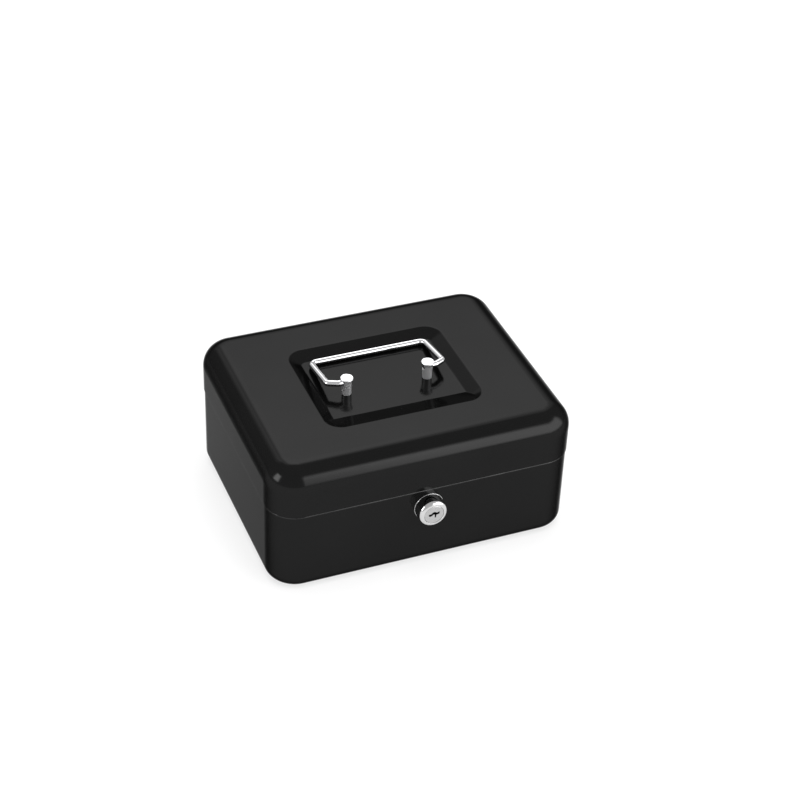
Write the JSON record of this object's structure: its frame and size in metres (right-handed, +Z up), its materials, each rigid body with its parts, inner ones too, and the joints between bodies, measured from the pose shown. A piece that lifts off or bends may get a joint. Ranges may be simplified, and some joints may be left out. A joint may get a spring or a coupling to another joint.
{
  "type": "cash box",
  "caption": "Small black steel cash box with a hinged lid, a fold-down bail handle in a recess, a front cam lock and a lift-out coin tray.",
  "frame": {"origin": "centre of the flat underside, on the plane the box stands on, midway across the lid's width and depth", "axes": "+X to the right along the front seen from the front, +Y to the hinge at the back, +Z up"},
  "size_m": [0.2, 0.1734, 0.0974],
  "materials": {
    "body_paint": "smooth semi-gloss black stove enamel",
    "lid_paint": "smooth semi-gloss black stove enamel",
    "ledge_paint": "semi-gloss black enamel",
    "hinge_paint": "semi-gloss black enamel",
    "rivet_paint": "semi-gloss black enamel over steel",
    "pin_steel": "drawn steel",
    "lock_chrome": "bright nickel-chrome plate",
    "plug_chrome": "bright plate, turned face",
    "post_chrome": "bright plate on turned steel",
    "bail_chrome": "bright chrome plate on drawn wire",
    "zinc_steel": "zinc-plated pressed steel",
    "nut_steel": "zinc-plated machined steel",
    "wafer_brass": "stamped brass",
    "tray_plastic": "fine-grained moulded plastic"
  },
  "bodies": {
    "box": {"body_shell": "body_paint", "tray_ledge_left": "ledge_paint", "tray_ledge_right": "ledge_paint", "hinge_leaf_body": "hinge_paint", "hinge_pin": "pin_steel", "hinge_rivets_body": "rivet_paint", "lock_housing": "lock_chrome", "lock_washer": "zinc_steel", "lock_nut": "nut_steel"},
    "lid": {"lid_shell": "lid_paint", "hinge_leaf_lid": "hinge_paint", "hinge_rivets_lid": "rivet_paint", "lid_catch": "zinc_steel", "handle_post_left": "post_chrome", "handle_post_right": "post_chrome", "post_washer_left": "zinc_steel", "post_washer_right": "zinc_steel"},
    "handle": {"handle_bail": "bail_chrome"},
    "lock_rotor": {"lock_plug": "plug_chrome", "lock_wafers": "wafer_brass", "lock_cam": "zinc_steel", "cam_screw": "nut_steel"},
    "tray": {"coin_tray": "tray_plastic"}
  },
  "joints": [
    {"name": "lid_hinge", "type": "hinge", "parent": "box", "child": "lid", "pos_m": [0, 0.0823, 0.05735], "axis": [-1, 0, 0], "range_deg": [0, 100]},
    {"name": "handle_swing", "type": "hinge", "parent": "lid", "child": "handle", "pos_m": [0, -0.0058, 0.094], "axis": [1, 0, 0], "range_deg": [0, 194]},
    {"name": "lock_turn", "type": "hinge", "parent": "box", "child": "lock_rotor", "pos_m": [0, -0.089, 0.0444], "axis": [0, 1, 0], "range_deg": [0, 90]},
    {"name": "tray_lift", "type": "slide", "parent": "box", "child": "tray", "axis": [0, 0, 1], "range_m": [0, 0.018]}
  ]
}
